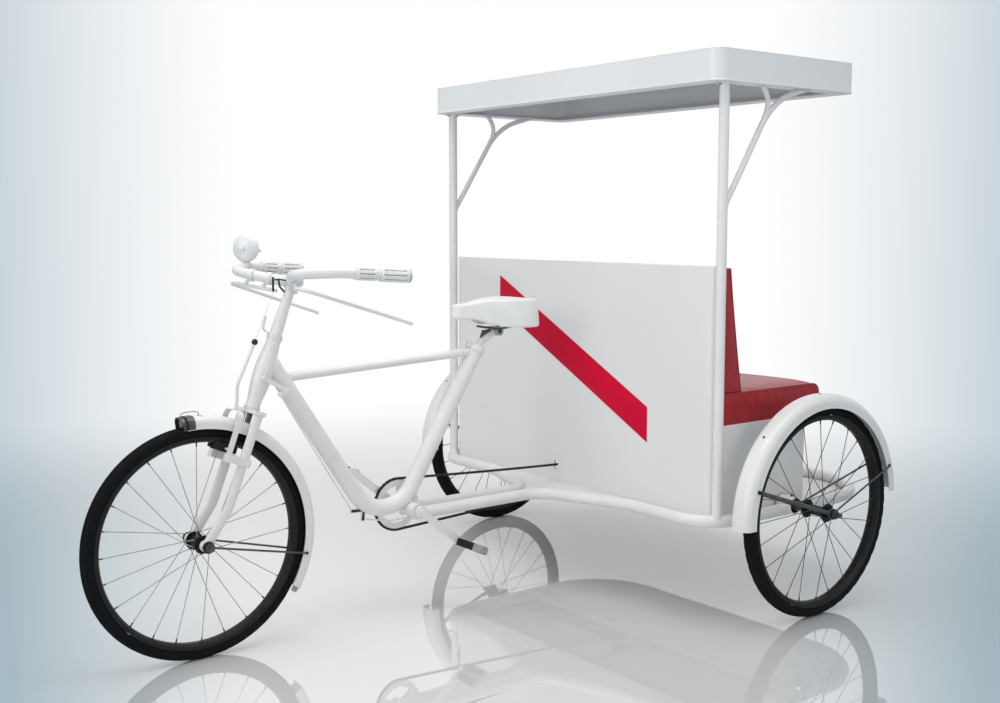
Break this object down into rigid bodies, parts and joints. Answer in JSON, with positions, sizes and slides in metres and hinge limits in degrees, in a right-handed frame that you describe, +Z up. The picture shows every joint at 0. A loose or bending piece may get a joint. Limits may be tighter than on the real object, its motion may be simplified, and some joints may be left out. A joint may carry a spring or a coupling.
{
  "type": "cycle rickshaw",
  "caption": "White three-wheeled cycle rickshaw: rider's saddle and pedals in front, a red bench that faces backwards behind a front wall, and a flat canopy.",
  "frame": {"origin": "on the floor under the middle of the bounding box", "axes": "+X forward, +Y to the rider's left, +Z up"},
  "size_m": [2.668, 1.9026, 1.816],
  "materials": {
    "white_paint": "satin",
    "dark_steel": "satin",
    "black_steel": "satin",
    "tyre": "matte",
    "red_leather": "satin",
    "board": "matte",
    "grey_board": "satin",
    "white_shell": "satin",
    "white_vinyl": "satin",
    "white_rubber": "matte",
    "black_rubber": "matte"
  },
  "bodies": {
    "chassis": {"main_frame": "white_paint", "base_frame": "white_paint", "headset_cups": "white_paint", "rear_axle_left": "dark_steel", "chain": "dark_steel", "rear_brake_linkage": "white_paint", "front_wall": "white_paint", "seat_box_panel": "white_paint", "seat_deck": "board", "seat_cushion": "red_leather", "seat_backrest": "red_leather", "foot_board": "grey_board", "canopy": "white_shell", "saddle": "white_vinyl", "saddle_clamp": "dark_steel", "seat_post": "white_paint", "side_panel_left": "white_paint", "side_panel_right": "white_paint", "post_left": "white_paint", "post_right": "white_paint", "post_brace_left": "white_paint", "post_brace_right": "white_paint", "rear_mudguard_left": "white_paint", "rear_mudguard_right": "white_paint", "mudguard_stays_left": "dark_steel", "mudguard_stays_right": "dark_steel"},
    "steering": {"fork": "white_paint", "stem": "white_paint", "handlebar": "white_paint", "bell": "white_paint", "lamp_bracket": "white_paint", "front_brake": "white_paint", "front_mudguard": "white_paint", "front_mudguard_fittings": "dark_steel", "front_axle": "dark_steel", "grip_left": "white_rubber", "grip_right": "white_rubber", "brake_lever_left": "white_paint", "brake_lever_right": "white_paint"},
    "front_wheel": {"front_wheel": "black_steel", "front_tyre": "tyre"},
    "rear_wheel_left": {"rear_left_wheel": "black_steel", "rear_left_tyre": "tyre"},
    "rear_wheel_right": {"rear_right_wheel": "black_steel", "rear_right_tyre": "tyre", "drive_shaft": "dark_steel"},
    "crankset": {"crankset": "white_paint"},
    "pedal_left": {"pedal_left": "black_rubber"},
    "pedal_right": {"pedal_right": "black_rubber"}
  },
  "joints": [
    {"name": "steering", "type": "hinge", "parent": "chassis", "child": "steering", "pos_m": [0.7627, 0, 0.84], "axis": [-0.3584, 0, 0.9336], "range_deg": [-45, 45]},
    {"name": "front_wheel_spin", "type": "hinge", "parent": "steering", "child": "front_wheel", "pos_m": [0.984, 0, 0.35], "axis": [0, 1, 0], "continuous": true},
    {"name": "rear_left_wheel_spin", "type": "hinge", "parent": "chassis", "child": "rear_wheel_left", "pos_m": [-0.784, 0.857, 0.35], "axis": [0, 1, 0], "continuous": true},
    {"name": "rear_right_wheel_spin", "type": "hinge", "parent": "chassis", "child": "rear_wheel_right", "pos_m": [-0.784, -0.857, 0.35], "axis": [0, 1, 0], "continuous": true},
    {"name": "crank_spin", "type": "hinge", "parent": "chassis", "child": "crankset", "pos_m": [0.249, 0, 0.3485], "axis": [0, 1, 0], "continuous": true},
    {"name": "pedal_left_spin", "type": "hinge", "parent": "crankset", "child": "pedal_left", "pos_m": [0.08857, 0.141, 0.22088], "axis": [0, 1, 0], "continuous": true},
    {"name": "pedal_right_spin", "type": "hinge", "parent": "crankset", "child": "pedal_right", "pos_m": [0.40943, -0.141, 0.47612], "axis": [0, 1, 0], "continuous": true}
  ]
}
